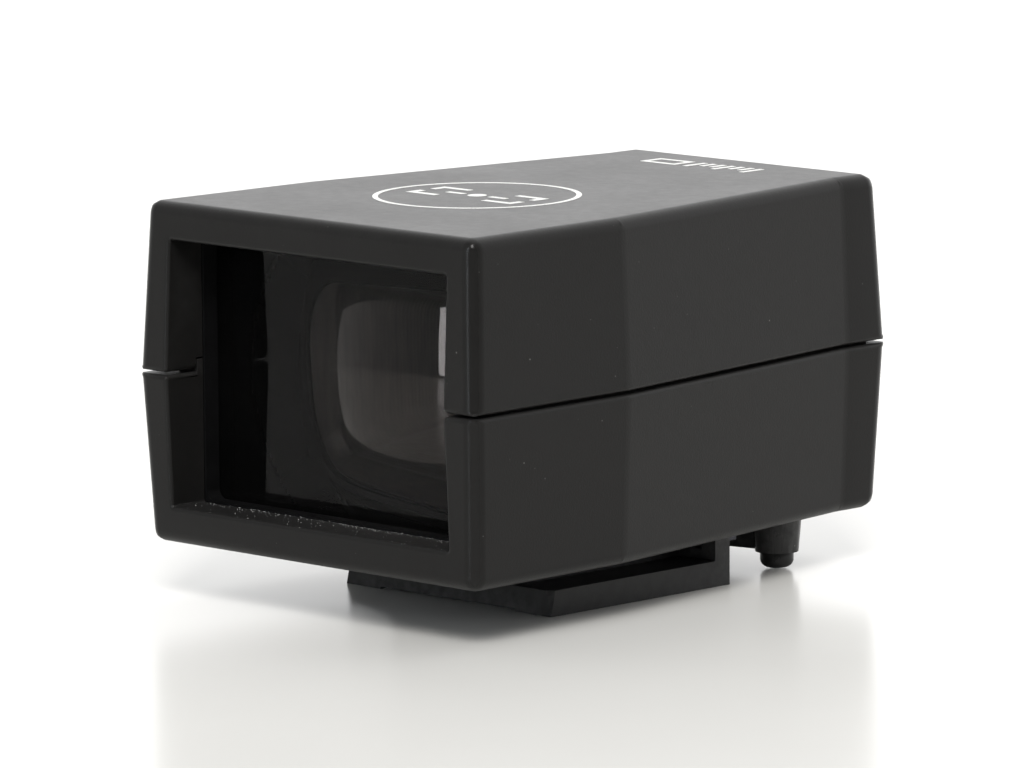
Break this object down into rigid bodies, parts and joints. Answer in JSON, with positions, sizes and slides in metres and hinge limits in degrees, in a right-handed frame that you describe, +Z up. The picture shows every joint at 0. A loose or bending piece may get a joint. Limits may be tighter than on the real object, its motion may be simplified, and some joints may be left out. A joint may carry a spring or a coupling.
{
  "type": "optical viewfinder",
  "caption": "Small box-shaped bright-line optical viewfinder with a rectangular front window, a round eyepiece and an accessory-shoe foot with a lock lever.",
  "frame": {"origin": "under the middle of the body, on the plane that the foot stands on", "axes": "+X to the right seen from the front window, -Y out of the front window along the line of sight, +Y towards the eye, +Z up"},
  "size_m": [0.0304, 0.042, 0.0256],
  "materials": {
    "case_black": "fine satin black moulded plastic",
    "matt_black": "dead matt black plastic inside the sight path",
    "foot_black": "black plastic, slightly rubbed",
    "front_glass": "polished, faint brownish semi-mirror on the dished back",
    "eyepiece_glass": "polished and coated",
    "black_rubber": "matt black rubber",
    "black_foam": "closed-cell black foam",
    "mask_foil": "blackened thin sheet",
    "screw_steel": "plain steel screws and washer",
    "dark_steel": "blackened steel"
  },
  "bodies": {
    "finder_body": {"upper_shell": "case_black", "lower_shell": "case_black", "window_gasket": "black_rubber", "front_lens": "front_glass", "lens_pad_left": "black_foam", "lens_pad_right": "black_foam", "lens_retainer": "matt_black", "field_mask": "mask_foil", "light_tunnel": "matt_black", "frame_line_mask": "mask_foil", "eyepiece_seat": "matt_black", "eyepiece_spacer": "black_rubber", "eyepiece_lens": "eyepiece_glass", "eyepiece_rim": "black_rubber", "case_screw_front_left": "screw_steel", "case_screw_front_right": "screw_steel", "case_screw_rear_left": "screw_steel", "case_screw_rear_right": "screw_steel", "shoe_foot": "foot_black", "foot_screw_front": "screw_steel", "foot_screw_rear": "screw_steel", "lever_pivot_screw": "dark_steel", "lever_washer": "screw_steel"},
    "lever": {"lock_lever": "foot_black", "lever_knob": "foot_black"},
    "yoke": {"lock_yoke": "dark_steel"}
  },
  "joints": [
    {"name": "lever_turn", "type": "hinge", "parent": "finder_body", "child": "lever", "pos_m": [0, 0.013, 0.0023], "axis": [0, 0, 1], "range_deg": [0, 60]},
    {"name": "yoke_slide", "type": "slide", "parent": "finder_body", "child": "yoke", "axis": [0, 1, 0], "range_m": [0, 0.00045]}
  ],
  "couplings": [
    {"joint": "lever_turn", "follows": "yoke_slide", "rad_per_m": 2325.6}
  ]
}
